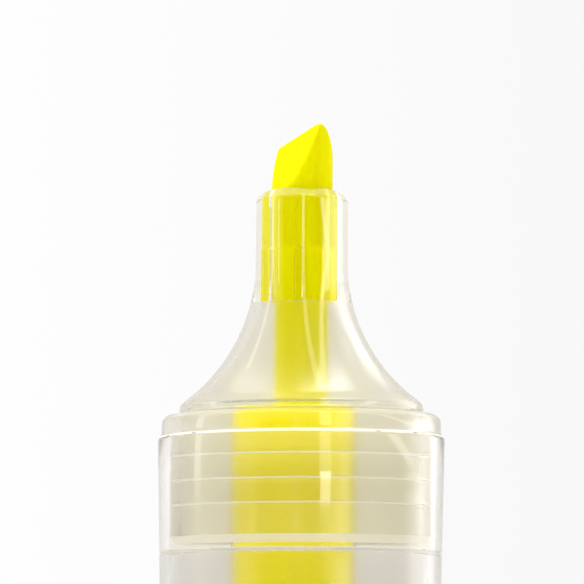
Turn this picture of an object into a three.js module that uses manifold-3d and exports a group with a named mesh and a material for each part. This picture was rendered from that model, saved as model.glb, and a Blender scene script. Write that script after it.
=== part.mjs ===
// Flat-oval highlighter with a see-through barrel and nose, standing on its posted cap.
// Millimetres, +Z up along the pen, +X across its width, +Y through its depth.
// The origin is the middle of the flat closed end of the cap, on which the pen stands.
import * as THREE from 'three';
import { mergeVertices } from 'three/addons/utils/BufferGeometryUtils.js';
import Module from 'manifold-3d';

const wasm = await Module();
wasm.setup();

// ---- Driving dimensions -------------------------------------------------------------------

const SIDES = 48;            // sides of every oval and round section
const FIT = 0.08;            // clearance between pieces that are pushed together

// Lengths along the pen
const CAP_LENGTH = 32;
const FLANGE_HEIGHT = 1.5;   // rim of the tail plug, between the cap's mouth and the barrel
const BARREL_LENGTH = 74;
const SPIGOT_LENGTH = 10;    // part of the tail plug that the posted cap slides over

// Levels, up from the cap's closed end
const FLANGE = CAP_LENGTH;
const TAIL = FLANGE + FLANGE_HEIGHT;
const RIM = TAIL + BARREL_LENGTH;

// Barrel, as [half width, half depth]
const BARREL_MOUTH = [11.75, 8.0];
const BARREL_TAIL = [10.9, 7.3];
const BARREL_WALL = 1.3;
const COUNTERBORE_WALL = 1.05;
const COUNTERBORE_DEPTH = 9.6;

// Nose: two stepped ledges, a trumpet flare and a round collar, heights above the barrel's rim
const LOWER_LEDGE = [11.5, 7.75];
const LOWER_LEDGE_TOP = 1.71;
const UPPER_LEDGE = [9.97, 6.25];
const UPPER_LEDGE_TOP = 2.6;
const FLARE_FOOT = [9.5, 5.8];
const FLARE_FOOT_HEIGHT = 2.95;
const FLARE_RADIUS = 14.16;
const FLARE_TOP = 14.4;
const COLLAR_RADIUS = 3.76;
const COLLAR_TOP = 20.1;
const COLLAR_CHAMFER = 0.6;
const NOSE_WALL = 1.05;
const GRIP_FOOT = 10.8;      // lower end of the tube that grips the nib
const SKIRT_DEPTH = 8.9;     // how far the nose reaches down inside the barrel
const SKIRT_WALL = 0.9;
const POCKET_TOP = 2.62;     // where the flare's inner wall narrows over the reservoir's top
const BEAD_PITCH = 1.96;
const BEAD_COUNT = 3;

// Nib
const NIB_HEAD_RADIUS = 2.5;
const NIB_STEM_RADIUS = 2.13;
const NIB_TIP = 25.6;
const NIB_SHOULDER = 15.3;
const NIB_STEM_FOOT = -5.5;
const EDGE_HEADING = -32;    // degrees in plan from +X to the writing edge's high end
const EDGE_RISE = 0.376;     // rise of the writing edge for each millimetre along it
const EDGE_OFFSET = 0.3;     // writing edge's distance from the nib's axis
const FRONT_BEVEL = 2.41;    // fall of the steep front face for each millimetre from the edge
const BACK_BEVEL = 1.05;     // fall of the shallow back face

// Ribs that hold the nib in the collar
const RIB_COUNT = 6;
const RIB_WIDTH = 0.7;
const RIB_TURN = 5;          // degrees from -Y to the first rib
const GRIP_BORE = 2.65;

// Ink reservoir, which leans a little to one side in the barrel
const RESERVOIR_RADIUS = 5.0;
const RESERVOIR_TOP = 2.1;
const RESERVOIR_LEAN = -0.55;
const FILM = 0.15;

// Tail plug, cap, liner and clip
const SPIGOT = [9.85, 6.12];
const PLUG_WALL = 1.1;
const PLUG_SKIRT = 6;
const CAP_MOUTH = [11.4, 7.65];
const CAP_CROWN = [10.5, 6.8];
const CAP_BORE = [10.08, 6.36];
const CAP_BORE_END = [9.3, 5.6];
const CROWN_THICKNESS = 1.4;
const VENT_RADIUS = 1.1;
const VENT_OFFSET = 7.4;
const LINER_BORE = 3.86;
const LINER_WALL = 0.95;
const LINER_TOP = 20.5;
const CLIP_WIDTH = 5.4;
const CLIP_THICKNESS = 1.5;
const CLIP_GAP = 1.2;
const CLIP_TOP = 28.5;

// ---- Geometry helpers ---------------------------------------------------------------------

function withoutSlivers(geometry) {
  const index = geometry.getIndex().array;
  const kept = [];
  for (let i = 0; i < index.length; i += 3) {
    const [a, b, c] = [index[i], index[i + 1], index[i + 2]];
    if (a !== b && b !== c && c !== a) kept.push(a, b, c);
  }
  geometry.setIndex(kept);
  return geometry;
}

function welded(source) {
  const geometry = source.clone();
  geometry.deleteAttribute('normal');
  geometry.deleteAttribute('uv');
  return withoutSlivers(mergeVertices(geometry, 1e-4));
}

function toSolid(source) {
  const geometry = welded(source);
  return new wasm.Manifold(new wasm.Mesh({
    numProp: 3,
    vertProperties: new Float32Array(geometry.getAttribute('position').array),
    triVerts: new Uint32Array(geometry.getIndex().array),
  }));
}

function toGeometry(solid) {
  const mesh = solid.getMesh();
  const geometry = new THREE.BufferGeometry();
  geometry.setAttribute('position', new THREE.BufferAttribute(mesh.vertProperties, 3));
  geometry.setIndex(new THREE.BufferAttribute(mesh.triVerts, 1));
  return geometry;
}

// A turned shape whose rings are ovals. Each profile point is [half width, half depth, height];
// the profile runs anticlockwise with the half width to the right and the height up.
function turnedOval(profile) {
  const points = profile.map(([width, , height]) => new THREE.Vector2(width, height));
  const geometry = new THREE.LatheGeometry(points, SIDES);
  geometry.rotateX(Math.PI / 2);
  const position = geometry.getAttribute('position');
  for (let i = 0; i < position.count; i += 1) {
    const [width, depth] = profile[i % profile.length];
    const squash = width > 0 ? depth / width : 1;
    position.setY(i, position.getY(i) * squash);
  }
  return welded(geometry);
}

function closedOval(profile) {
  return turnedOval([...profile, profile[0]]);
}

function turnedRound(profile) {
  return turnedOval(profile.map(([radius, height]) => [radius, radius, height]));
}

function inset([width, depth], amount) {
  return [width - amount, depth - amount];
}

function between([widthA, depthA], [widthB, depthB], t) {
  return [widthA + (widthB - widthA) * t, depthA + (depthB - depthA) * t];
}

function block(width, depth, height, x, y, z) {
  return new THREE.BoxGeometry(width, depth, height).translate(x, y, z);
}

function mesh(name, geometry, colour, roughness, opacity = 1) {
  const material = new THREE.MeshStandardMaterial({
    color: colour,
    roughness,
    metalness: 0,
    transparent: opacity < 1,
    opacity,
  });
  geometry.computeVertexNormals();
  const piece = new THREE.Mesh(geometry, material);
  piece.name = name;
  return piece;
}

// ---- Barrel -------------------------------------------------------------------------------

// The outside tapers fastest below the rim and runs out parallel at the tail.
function barrelSection(height) {
  const down = (RIM - height) / BARREL_LENGTH;
  return between(BARREL_MOUTH, BARREL_TAIL, 1 - (1 - down) ** 2);
}

function barrel() {
  const steps = 7;
  const counterboreFoot = RIM - COUNTERBORE_DEPTH;
  const counterbore = inset(BARREL_MOUTH, COUNTERBORE_WALL);
  const outside = [];
  for (let i = 0; i <= steps; i += 1) {
    const height = TAIL + 0.3 + (BARREL_LENGTH - 0.6) * (i / steps);
    outside.push([...barrelSection(height), height]);
  }
  return closedOval([
    [...inset(BARREL_TAIL, BARREL_WALL), TAIL + FIT],
    [...inset(BARREL_TAIL, 0.25), TAIL + FIT],
    ...outside,
    [...inset(BARREL_MOUTH, 0.25), RIM],
    [...counterbore, RIM],
    [...inset(counterbore, 0.03), counterboreFoot + 0.3],
    [...inset(barrelSection(counterboreFoot), BARREL_WALL), counterboreFoot],
  ]);
}

// ---- Nose ---------------------------------------------------------------------------------

function flareSection(heightAboveRim, wall) {
  const drop = FLARE_TOP - heightAboveRim;
  const width = COLLAR_RADIUS + FLARE_RADIUS - Math.sqrt(FLARE_RADIUS ** 2 - drop ** 2);
  const spread = (width - COLLAR_RADIUS) / (FLARE_FOOT[0] - COLLAR_RADIUS);
  const depth = COLLAR_RADIUS + (FLARE_FOOT[1] - COLLAR_RADIUS) * spread;
  return [width - wall, depth - wall];
}

// Three shallow snap beads round the skirt, each a low triangle on its wall.
function skirtOutside(section) {
  const rings = [];
  for (let i = BEAD_COUNT - 1; i >= 0; i -= 1) {
    const crest = RIM - 1.87 - BEAD_PITCH * i;
    rings.push([...section, crest - 0.5]);
    rings.push([...inset(section, -0.06), crest]);
    rings.push([...section, crest + 0.5]);
  }
  return rings;
}

function flareRings(low, high, count, wall) {
  const rings = [];
  for (let i = 0; i < count; i += 1) {
    const height = low + (high - low) * (i / (count - 1));
    rings.push([...flareSection(height, wall), RIM + height]);
  }
  return rings;
}

function noseShell() {
  const skirt = inset(BARREL_MOUTH, COUNTERBORE_WALL + 2 * FIT);
  const skirtInside = inset(skirt, SKIRT_WALL);
  const pocket = inset(UPPER_LEDGE, NOSE_WALL - 0.15);
  const collarShoulder = COLLAR_RADIUS - COLLAR_CHAMFER;
  return closedOval([
    [...skirtInside, RIM - SKIRT_DEPTH],
    [...inset(skirt, 0.4), RIM - SKIRT_DEPTH],
    [...skirt, RIM - SKIRT_DEPTH + 0.7],
    ...skirtOutside(skirt),
    [...skirt, RIM + FIT],
    [...LOWER_LEDGE, RIM + FIT],
    [...inset(LOWER_LEDGE, 0.1), RIM + LOWER_LEDGE_TOP - 0.33],
    [...inset(LOWER_LEDGE, 0.45), RIM + LOWER_LEDGE_TOP],
    [...inset(UPPER_LEDGE, -0.05), RIM + 1.95],
    [...UPPER_LEDGE, RIM + UPPER_LEDGE_TOP],
    ...flareRings(FLARE_FOOT_HEIGHT, FLARE_TOP, 9, 0),
    [COLLAR_RADIUS, COLLAR_RADIUS, RIM + COLLAR_TOP - COLLAR_CHAMFER],
    [collarShoulder, collarShoulder, RIM + COLLAR_TOP],
    [GRIP_BORE, GRIP_BORE, RIM + COLLAR_TOP],
    [GRIP_BORE, GRIP_BORE, RIM + GRIP_FOOT],
    ...flareRings(POCKET_TOP, GRIP_FOOT, 7, NOSE_WALL).reverse(),
    [...pocket, RIM + POCKET_TOP - 0.3],
    [...pocket, RIM + 1.2],
    [...skirtInside, RIM + 0.4],
  ]);
}

// One rib: a tongue with a round top, standing in from the bore to the nib's stem.
function gripRib() {
  const half = RIB_WIDTH / 2;
  const foot = RIM + GRIP_FOOT;
  const top = RIM + NIB_SHOULDER - FIT - half;
  const outline = new THREE.Shape();
  outline.moveTo(-half, foot);
  outline.lineTo(half, foot);
  outline.lineTo(half, top);
  outline.absarc(0, top, half, 0, Math.PI, false);
  const inner = NIB_STEM_RADIUS + FIT;
  const depth = GRIP_BORE + 0.2 - inner;
  const tongue = new THREE.ExtrudeGeometry(outline, { depth, bevelEnabled: false, curveSegments: 6 });
  return tongue.rotateX(Math.PI / 2).translate(0, -inner, 0);
}

function nose() {
  let solid = toSolid(noseShell());
  for (let i = 0; i < RIB_COUNT; i += 1) {
    const turn = RIB_TURN + (i / RIB_COUNT) * 360;
    solid = solid.add(toSolid(gripRib().rotateZ(THREE.MathUtils.degToRad(turn))));
  }
  return toGeometry(solid);
}

// ---- Nib ----------------------------------------------------------------------------------

function nibRod() {
  return turnedRound([
    [0, RIM + NIB_STEM_FOOT],
    [NIB_STEM_RADIUS - 0.3, RIM + NIB_STEM_FOOT],
    [NIB_STEM_RADIUS, RIM + NIB_STEM_FOOT + 0.4],
    [NIB_STEM_RADIUS, RIM + NIB_SHOULDER],
    [NIB_HEAD_RADIUS, RIM + NIB_SHOULDER],
    [NIB_HEAD_RADIUS, RIM + NIB_TIP + 1],
    [0, RIM + NIB_TIP + 1],
  ]);
}

// The wedge that trims the rod: a ridge with a steep front and a shallow back, whose crest
// climbs along its heading and reaches the tip's height where it leaves the rod.
function chiselWedge() {
  const reach = 5;
  const floor = -40;
  const crest = 0.12;
  const outline = new THREE.Shape();
  outline.moveTo(-reach, floor);
  outline.lineTo(reach, floor);
  outline.lineTo(reach, -BACK_BEVEL * reach);
  outline.lineTo(crest, -BACK_BEVEL * crest);
  outline.lineTo(-crest, -FRONT_BEVEL * crest);
  outline.lineTo(-reach, -FRONT_BEVEL * reach);
  outline.closePath();
  const wedge = new THREE.ExtrudeGeometry(outline, { depth: 2 * reach, bevelEnabled: false });
  // The outline's plane is turned upright and its extrusion laid along +X, from -reach to reach.
  wedge.rotateX(Math.PI / 2).rotateZ(Math.PI / 2).translate(-reach, 0, 0);
  const climb = new THREE.Matrix4().set(
    1, 0, 0, 0,
    0, 1, 0, 0,
    EDGE_RISE, 0, 1, 0,
    0, 0, 0, 1,
  );
  wedge.applyMatrix4(climb);
  const halfChord = Math.sqrt(NIB_HEAD_RADIUS ** 2 - EDGE_OFFSET ** 2);
  const crestFall = EDGE_RISE * halfChord - BACK_BEVEL * crest;
  wedge.translate(0, -EDGE_OFFSET, RIM + NIB_TIP - crestFall);
  return wedge.rotateZ(THREE.MathUtils.degToRad(EDGE_HEADING));
}

function nib() {
  return toGeometry(toSolid(nibRod()).intersect(toSolid(chiselWedge())));
}

// ---- Ink reservoir ------------------------------------------------------------------------

const RESERVOIR_FOOT = TAIL + 0.4;

function reservoirCore() {
  const radius = RESERVOIR_RADIUS - FILM - 0.05;
  const rod = turnedRound([
    [0, RESERVOIR_FOOT + 0.2],
    [radius, RESERVOIR_FOOT + 0.2],
    [radius, RIM + RESERVOIR_TOP - 0.1],
    [0, RIM + RESERVOIR_TOP - 0.1],
  ]);
  rod.translate(RESERVOIR_LEAN, 0, 0);
  const bore = NIB_STEM_RADIUS + FIT;
  const stemHole = turnedRound([
    [0, RIM + NIB_STEM_FOOT - 0.3],
    [bore, RIM + NIB_STEM_FOOT - 0.3],
    [bore, RIM + RESERVOIR_TOP + 1],
    [0, RIM + RESERVOIR_TOP + 1],
  ]);
  return toGeometry(toSolid(rod).subtract(toSolid(stemHole)));
}

function reservoirFilm() {
  const inner = RESERVOIR_RADIUS - FILM;
  const sleeve = closedOval([
    [inner, inner, RESERVOIR_FOOT],
    [RESERVOIR_RADIUS, RESERVOIR_RADIUS, RESERVOIR_FOOT],
    [RESERVOIR_RADIUS, RESERVOIR_RADIUS, RIM + RESERVOIR_TOP],
    [inner, inner, RIM + RESERVOIR_TOP],
  ]);
  return sleeve.translate(RESERVOIR_LEAN, 0, 0);
}

// ---- Tail plug ----------------------------------------------------------------------------

function tailPlug() {
  const skirt = inset(BARREL_TAIL, BARREL_WALL + FIT);
  const spigotFoot = FLANGE - SPIGOT_LENGTH;
  const hollow = inset(SPIGOT, PLUG_WALL);
  const cup = closedAtFoot([
    [...inset(SPIGOT, 0.7), spigotFoot],
    [...SPIGOT, spigotFoot + 0.9],
    [...SPIGOT, FLANGE + FIT],
    [...inset(BARREL_TAIL, 0.2), FLANGE + FIT],
    [...BARREL_TAIL, FLANGE + 0.35],
    [...BARREL_TAIL, TAIL],
    [...skirt, TAIL],
    [...skirt, TAIL + PLUG_SKIRT - 0.5],
    [...inset(skirt, 0.25), TAIL + PLUG_SKIRT],
    [...inset(skirt, 0.7), TAIL + PLUG_SKIRT],
    [...inset(skirt, 0.7), TAIL + 0.3],
    [...hollow, TAIL - 0.4],
    [...inset(hollow, 0.15), spigotFoot + PLUG_WALL],
  ]);
  // A web across the hollow, which the reservoir stands on.
  const webHeight = TAIL - spigotFoot - 0.4;
  const web = block(2 * hollow[0], 1.2, webHeight, 0, 0, spigotFoot + 0.4 + webHeight / 2);
  return toGeometry(toSolid(cup).add(toSolid(web)));
}

// A cup: its profile starts and ends on the axis, below and above its floor.
function closedAtFoot(wall) {
  const under = wall[0];
  const floor = wall[wall.length - 1];
  return turnedOval([[0, 0, under[2]], ...wall, [0, 0, floor[2]]]);
}

// ---- Cap, liner and clip ------------------------------------------------------------------

function capDepthAt(height) {
  return between(CAP_CROWN, CAP_MOUTH, height / CAP_LENGTH)[1];
}

function capShell() {
  const cup = closedAtFoot([
    [...inset(CAP_CROWN, 1.4), 0],
    [...inset(CAP_CROWN, 0.45), 0.4],
    [...CAP_CROWN, 1.4],
    [...CAP_MOUTH, CAP_LENGTH - 0.3],
    [...inset(CAP_MOUTH, 0.3), CAP_LENGTH],
    [...CAP_BORE, CAP_LENGTH],
    [...CAP_BORE_END, CROWN_THICKNESS],
  ]);
  let solid = toSolid(cup);
  for (const side of [-1, 1]) {
    const vent = new THREE.CylinderGeometry(VENT_RADIUS, VENT_RADIUS, 6, 16);
    vent.rotateX(Math.PI / 2).translate(side * VENT_OFFSET, 0, 0);
    solid = solid.subtract(toSolid(vent));
  }
  const slot = block(CLIP_WIDTH - 1.2, 3, 2.4, 0, -CAP_CROWN[1], 4);
  return toGeometry(solid.subtract(toSolid(slot)));
}

function capLiner() {
  const outer = LINER_BORE + LINER_WALL;
  const foot = CROWN_THICKNESS + FIT;
  return turnedRound([
    [0, foot],
    [5.3, foot],
    [5.3, foot + 0.6],
    [outer, foot + 1.1],
    [outer, LINER_TOP - 0.3],
    [outer - 0.3, LINER_TOP],
    [LINER_BORE + 0.3, LINER_TOP],
    [LINER_BORE, LINER_TOP - 0.4],
    [LINER_BORE, foot + 1.1],
    [0, foot + 1.1],
  ]);
}

// The clip's side outline: a tongue through the cap's wall, an arm clear of the cap, and a
// round nub near its free end that nearly touches the cap.
function capClip() {
  const wallFace = (height) => capDepthAt(height) + 0.1;
  const armInside = (height) => capDepthAt(height) + CLIP_GAP;
  const armOutside = (height) => armInside(height) + CLIP_THICKNESS;
  const nubHeight = CLIP_TOP - 2.2;
  const outline = new THREE.Shape();
  outline.moveTo(CAP_CROWN[1] - 1.0, 3);
  outline.lineTo(wallFace(3), 3);
  outline.quadraticCurveTo(armOutside(2) - 0.4, 1.6, armOutside(4), 4.6);
  outline.lineTo(armOutside(CLIP_TOP - 1), CLIP_TOP - 1);
  outline.quadraticCurveTo(armOutside(CLIP_TOP), CLIP_TOP, armOutside(CLIP_TOP) - 0.8, CLIP_TOP);
  outline.lineTo(armInside(CLIP_TOP), CLIP_TOP);
  outline.quadraticCurveTo(wallFace(nubHeight) - 0.7, nubHeight, armInside(nubHeight - 2.4), nubHeight - 2.4);
  outline.lineTo(armInside(8), 8);
  outline.quadraticCurveTo(armInside(6) - 0.1, 5.2, wallFace(5), 5);
  outline.lineTo(CAP_CROWN[1] - 1.0, 5);
  outline.closePath();
  const arm = new THREE.ExtrudeGeometry(outline, {
    depth: CLIP_WIDTH,
    bevelEnabled: false,
    curveSegments: 6,
  });
  arm.rotateX(Math.PI / 2).rotateZ(-Math.PI / 2).translate(CLIP_WIDTH / 2, 0, 0);
  // The tongue is narrower than the arm, so that the arm's shoulders meet the cap's wall.
  const relief = [-1, 1].map((side) => block(
    0.7, 2.5, 8, side * (CLIP_WIDTH / 2 - 0.35), -wallFace(4) + 1.25, 4,
  ));
  const solid = relief.reduce((rest, cut) => rest.subtract(toSolid(cut)), toSolid(arm));
  return toGeometry(solid);
}

// ---- Assembly -----------------------------------------------------------------------------

const CLEAR = 0xe9e6da;
const INK = 0xf2ee10;
const CAP_YELLOW = 0xf0e81a;

const pen = new THREE.Group();
pen.add(mesh('barrel', barrel(), CLEAR, 0.2, 0.4));
pen.add(mesh('nose', nose(), CLEAR, 0.15, 0.4));
pen.add(mesh('nib', nib(), INK, 0.9));
pen.add(mesh('reservoir_core', reservoirCore(), INK, 0.9));
pen.add(mesh('reservoir_film', reservoirFilm(), 0xf6f3b0, 0.2, 0.4));
pen.add(mesh('tail_plug', tailPlug(), CAP_YELLOW, 0.4));
pen.add(mesh('cap_shell', capShell(), CAP_YELLOW, 0.35));
pen.add(mesh('cap_liner', capLiner(), 0xf4f4ee, 0.5));
pen.add(mesh('cap_clip', capClip(), CAP_YELLOW, 0.35));

export default pen;
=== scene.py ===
import math

import bmesh
import bpy
from mathutils import Matrix, Quaternion, Vector


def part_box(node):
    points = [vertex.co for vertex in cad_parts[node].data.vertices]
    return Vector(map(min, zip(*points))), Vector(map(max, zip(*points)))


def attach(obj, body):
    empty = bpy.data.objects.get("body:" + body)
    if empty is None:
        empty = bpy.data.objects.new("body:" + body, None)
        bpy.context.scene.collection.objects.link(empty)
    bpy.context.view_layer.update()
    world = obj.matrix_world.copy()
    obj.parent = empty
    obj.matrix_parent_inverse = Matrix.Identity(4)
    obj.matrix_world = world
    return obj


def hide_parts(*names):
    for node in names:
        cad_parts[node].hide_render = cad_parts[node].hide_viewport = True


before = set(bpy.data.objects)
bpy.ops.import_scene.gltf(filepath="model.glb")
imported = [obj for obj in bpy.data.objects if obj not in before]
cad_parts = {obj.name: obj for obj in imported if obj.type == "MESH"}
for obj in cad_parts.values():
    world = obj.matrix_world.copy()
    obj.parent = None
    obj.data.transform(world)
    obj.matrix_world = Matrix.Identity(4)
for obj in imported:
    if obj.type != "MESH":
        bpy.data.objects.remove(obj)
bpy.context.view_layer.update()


# ==== Camera ================================================================================
# A long lens looks slightly up at the writing end from a little to the pen's right.
# It takes in the nib, the nose and the mouth of the barrel, and nothing below them.

MM = 0.001
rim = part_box("barrel")[1].z

camera_azimuth = math.radians(10.0)
camera_elevation = math.radians(-7.3)
camera_distance = 300 * MM
aim_above_rim = 11.9 * MM
aim_to_the_left = 0.79 * MM
camera_roll = math.radians(0.35)

to_camera = Vector((
    math.sin(camera_azimuth) * math.cos(camera_elevation),
    -math.cos(camera_azimuth) * math.cos(camera_elevation),
    math.sin(camera_elevation),
))
to_the_right = Vector((math.cos(camera_azimuth), math.sin(camera_azimuth), 0))
aim = Vector((0, 0, rim + aim_above_rim)) - to_the_right * aim_to_the_left

camera = bpy.data.objects.new("camera", bpy.data.cameras.new("camera"))
bpy.context.scene.collection.objects.link(camera)
camera.data.sensor_width = 36
camera.data.lens = 226.4
camera.data.clip_start = 0.01
camera.data.clip_end = 50
camera.location = aim + to_camera * camera_distance
camera.rotation_mode = "QUATERNION"
camera.rotation_quaternion = (
    (-to_camera).to_track_quat("-Z", "Y") @ Quaternion((0, 0, 1), camera_roll)
)
bpy.context.scene.camera = camera


# ==== Barrel ================================================================================
# A see-through oval tube of natural polypropylene, injection moulded over a polished core.
# Its wall is thinned inside the mouth, where the nose's skirt is snapped in.

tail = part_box("barrel")[0].z
barrel_mouth = (11.75, 8.0)
barrel_tail = (10.9, 7.3)
barrel_wall = 1.3
counterbore_wall = 1.05
counterbore_depth = 9.6
counterbore_draft = 0.03
counterbore_step = 0.3
lip_rounding = 0.3
sides = 144
crease_angle = math.radians(32)


def millimetres(length):
    return length / MM


def inset(section, amount):
    return section[0] - amount, section[1] - amount


def between(low, high, share):
    return tuple(a + (b - a) * share for a, b in zip(low, high))


def ring(section, height, rounding=0.0, finish=0):
    """An oval ring: its half width and half depth, its height, the rounding of its edge,
    and the finish of the wall that runs from it to the next ring. All in millimetres."""
    return section, height, rounding, finish


def oval_body(rings, closed=True):
    """Spins a profile through all its rings, then squashes each ring to its own oval."""
    mesh = bmesh.new()
    mark = mesh.verts.layers.int.new("ring")
    profile = []
    for i, (section, height, _, _) in enumerate(rings):
        vert = mesh.verts.new((section[0] * MM, 0, height * MM))
        vert[mark] = i
        profile.append(vert)
    pairs = list(zip(profile, profile[1:]))
    if closed:
        pairs.append((profile[-1], profile[0]))
    edges = [mesh.edges.new(pair) for pair in pairs]
    bmesh.ops.spin(
        mesh, geom=profile + edges, cent=(0, 0, 0), axis=(0, 0, 1),
        angle=2 * math.pi, steps=sides, use_merge=True,
    )
    for vert in mesh.verts:
        width, depth = rings[vert[mark]][0]
        vert.co.y *= depth / width
    for face in mesh.faces:
        first, second = sorted({vert[mark] for vert in face.verts})
        face.material_index = rings[first if second == first + 1 else second][3]
    loops = [[] for _ in rings]
    for edge in mesh.edges:
        first, second = (vert[mark] for vert in edge.verts)
        if first == second:
            loops[first].append(edge)
    for loop, (_, _, rounding, _) in zip(loops, rings):
        if rounding:
            round_edges(mesh, loop, rounding)
    face_outwards(mesh)
    return mesh


def face_outwards(mesh):
    bmesh.ops.recalc_face_normals(mesh, faces=mesh.faces[:])
    if mesh.calc_volume(signed=True) < 0:
        bmesh.ops.reverse_faces(mesh, faces=mesh.faces[:])


def close_ends(mesh):
    open_edges = [edge for edge in mesh.edges if len(edge.link_faces) == 1]
    bmesh.ops.holes_fill(mesh, edges=open_edges, sides=0)
    face_outwards(mesh)


def round_edges(mesh, edges, radius, steps=3):
    bmesh.ops.bevel(
        mesh,
        geom=edges,
        offset=radius * MM,
        offset_type="OFFSET",
        segments=steps,
        profile=0.5,
        affect="EDGES",
        material=-1,
        clamp_overlap=True,
    )


def piece(name, mesh, finishes, body, nodes):
    """Makes a finished bmesh into a piece that rides on a body and stands for CAD nodes."""
    data = bpy.data.meshes.new(name)
    for face in mesh.faces:
        face.smooth = True
    mesh.to_mesh(data)
    mesh.free()
    data.set_sharp_from_angle(angle=crease_angle)
    for finish in finishes:
        data.materials.append(finish)
    made = bpy.data.objects.new(name, data)
    bpy.context.scene.collection.objects.link(made)
    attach(made, body)
    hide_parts(*nodes)
    return made


def new_group(name, inputs, outputs):
    """An empty node group whose sockets all hold a value: inputs with defaults, and outputs."""
    group = bpy.data.node_groups.new(name, "ShaderNodeTree")
    kind = "NodeSocketFloat"
    for socket, value in inputs.items():
        made = group.interface.new_socket(socket, in_out="INPUT", socket_type=kind)
        made.default_value = value
    for socket in outputs:
        group.interface.new_socket(socket, in_out="OUTPUT", socket_type=kind)
    return group


def node(tree, kind, values=None, links=None, **settings):
    """Adds a node: values go on its sockets, links come into them, settings are properties."""
    made = tree.nodes.new(kind)
    for key, value in settings.items():
        setattr(made, key, value)
    for socket, value in (values or {}).items():
        made.inputs[socket].default_value = value
    for socket, source in (links or {}).items():
        tree.links.new(source, made.inputs[socket])
    return made


def math_of(tree, operation, *terms, clamp=False):
    """A Math node's result. Each term is a number or another node's output."""
    made = node(tree, "ShaderNodeMath", operation=operation, use_clamp=clamp)
    for i, term in enumerate(terms):
        if isinstance(term, (int, float)):
            made.inputs[i].default_value = term
        else:
            tree.links.new(term, made.inputs[i])
    return made.outputs[0]


def span(tree, value, low, high, bottom=0.0, top=1.0, smooth=False):
    """Turns a value's range from low to high into bottom to top."""
    ends = {"From Min": low, "From Max": high, "To Min": bottom, "To Max": top}
    made = node(tree, "ShaderNodeMapRange", ends, {"Value": value})
    if smooth:
        made.interpolation_type = "SMOOTHSTEP"
    return made.outputs["Result"]


def object_place(tree):
    return node(tree, "ShaderNodeTexCoord").outputs["Object"]


def noise(tree, place, scale, detail, **more):
    values = {"Scale": scale, "Detail": detail, **more}
    return node(tree, "ShaderNodeTexNoise", values, {"Vector": place}).outputs["Fac"]


def two_tones(tree, share, first, second, ends=(0.0, 1.0)):
    """Turns a share into a colour between two, which it reaches at the ends given."""
    ramp = node(tree, "ShaderNodeValToRGB", None, {"Fac": share})
    for stop, end, colour in zip(ramp.color_ramp.elements, ends, (first, second)):
        stop.position = end
        stop.color = (*colour, 1)
    return ramp.outputs["Color"]


def bump(tree, height, depth, strength=1.0):
    values = {"Strength": strength, "Distance": depth}
    return node(tree, "ShaderNodeBump", values, {"Height": height}).outputs["Normal"]


def principled(tree, values, links):
    shader = node(tree, "ShaderNodeBsdfPrincipled", values, links)
    node(tree, "ShaderNodeOutputMaterial", None, {"Surface": shader.outputs["BSDF"]})


def moulded_skin_group():
    """Moulded plastic: slow waves in the skin, a fine grain, and patches of duller polish."""
    group = new_group(
        "moulded skin",
        {"Polish": 0.1, "Patchiness": 0.03, "Wave": 1.0, "Grain": 0.1},
        ["Roughness", "Height"],
    )
    given = node(group, "NodeGroupInput").outputs
    place = object_place(group)
    slow = noise(group, place, 160, 1.0)
    fine = noise(group, place, 4500, 2.0)
    patch = noise(group, place, 420, 4.0)
    centred = math_of(group, "SUBTRACT", patch, 0.5)
    spread = math_of(group, "MULTIPLY", centred, given["Patchiness"])
    rough = math_of(group, "ADD", spread, given["Polish"], clamp=True)
    wave = math_of(group, "MULTIPLY", slow, given["Wave"])
    height = math_of(group, "MULTIPLY_ADD", fine, given["Grain"], wave)
    node(group, "NodeGroupOutput", None, {"Roughness": rough, "Height": height})
    return group


moulded_skin = moulded_skin_group()
polypropylene_ior = 1.49


def blank_material(name):
    material = bpy.data.materials.new(name)
    material.use_nodes = True
    tree = material.node_tree
    tree.nodes.clear()
    return material, tree


def clear_plastic(name, tint, polish, patchiness=0.03, grain=0.0):
    """See-through polypropylene. Tint colours the light at each face that it crosses, and turns
    to the plastic's own cream along its edges, where the light runs far inside it."""
    material, tree = blank_material(name)
    given = {"Polish": polish, "Patchiness": patchiness, "Wave": 0.5, "Grain": grain}
    skin = node(tree, "ShaderNodeGroup", given, node_tree=moulded_skin).outputs
    edge = node(tree, "ShaderNodeLayerWeight", {"Blend": 0.5}).outputs["Facing"]
    cream = [part * share for part, share in zip(tint, (0.93, 0.86, 0.72))]
    principled(
        tree,
        {"Transmission Weight": 1.0, "IOR": polypropylene_ior, "Metallic": 0.0},
        {
            "Base Color": two_tones(tree, span(tree, edge, 0.55, 1.0), tint, cream),
            "Roughness": skin["Roughness"],
            "Normal": bump(tree, skin["Height"], 0.00003),
        },
    )
    return material


def frosted_plastic(name, tint, polish):
    """The same plastic where the mould leaves it dull: thin ends and beads. Their glow is painted
    light, an even emission that stands in for the light that the polished walls lead to them."""
    material, tree = blank_material(name)
    given = {"Polish": polish, "Patchiness": 0.1, "Grain": 1.0}
    skin = node(tree, "ShaderNodeGroup", given, node_tree=moulded_skin).outputs
    # The emission is painted light.
    principled(
        tree,
        {
            "Base Color": (*tint, 1), "Transmission Weight": 0.45, "IOR": polypropylene_ior,
            "Metallic": 0.0, "Emission Color": (1.0, 0.96, 0.88, 1), "Emission Strength": 0.3,
        },
        {"Roughness": skin["Roughness"], "Normal": bump(tree, skin["Height"], 0.00001)},
    )
    return material


barrel_tint = (0.87, 0.85, 0.815)
thin_tint = (0.98, 0.965, 0.89)

polished_face = clear_plastic("clear plastic polished", barrel_tint, 0.05, 0.02)
seat_face = clear_plastic("clear plastic seat", thin_tint, 0.09)
cored_face = clear_plastic("clear plastic cored", barrel_tint, 0.32)
# The dull ends and beads glow with painted light.
frosted_end = frosted_plastic("clear plastic frosted end", (0.95, 0.93, 0.86), 0.5)

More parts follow.
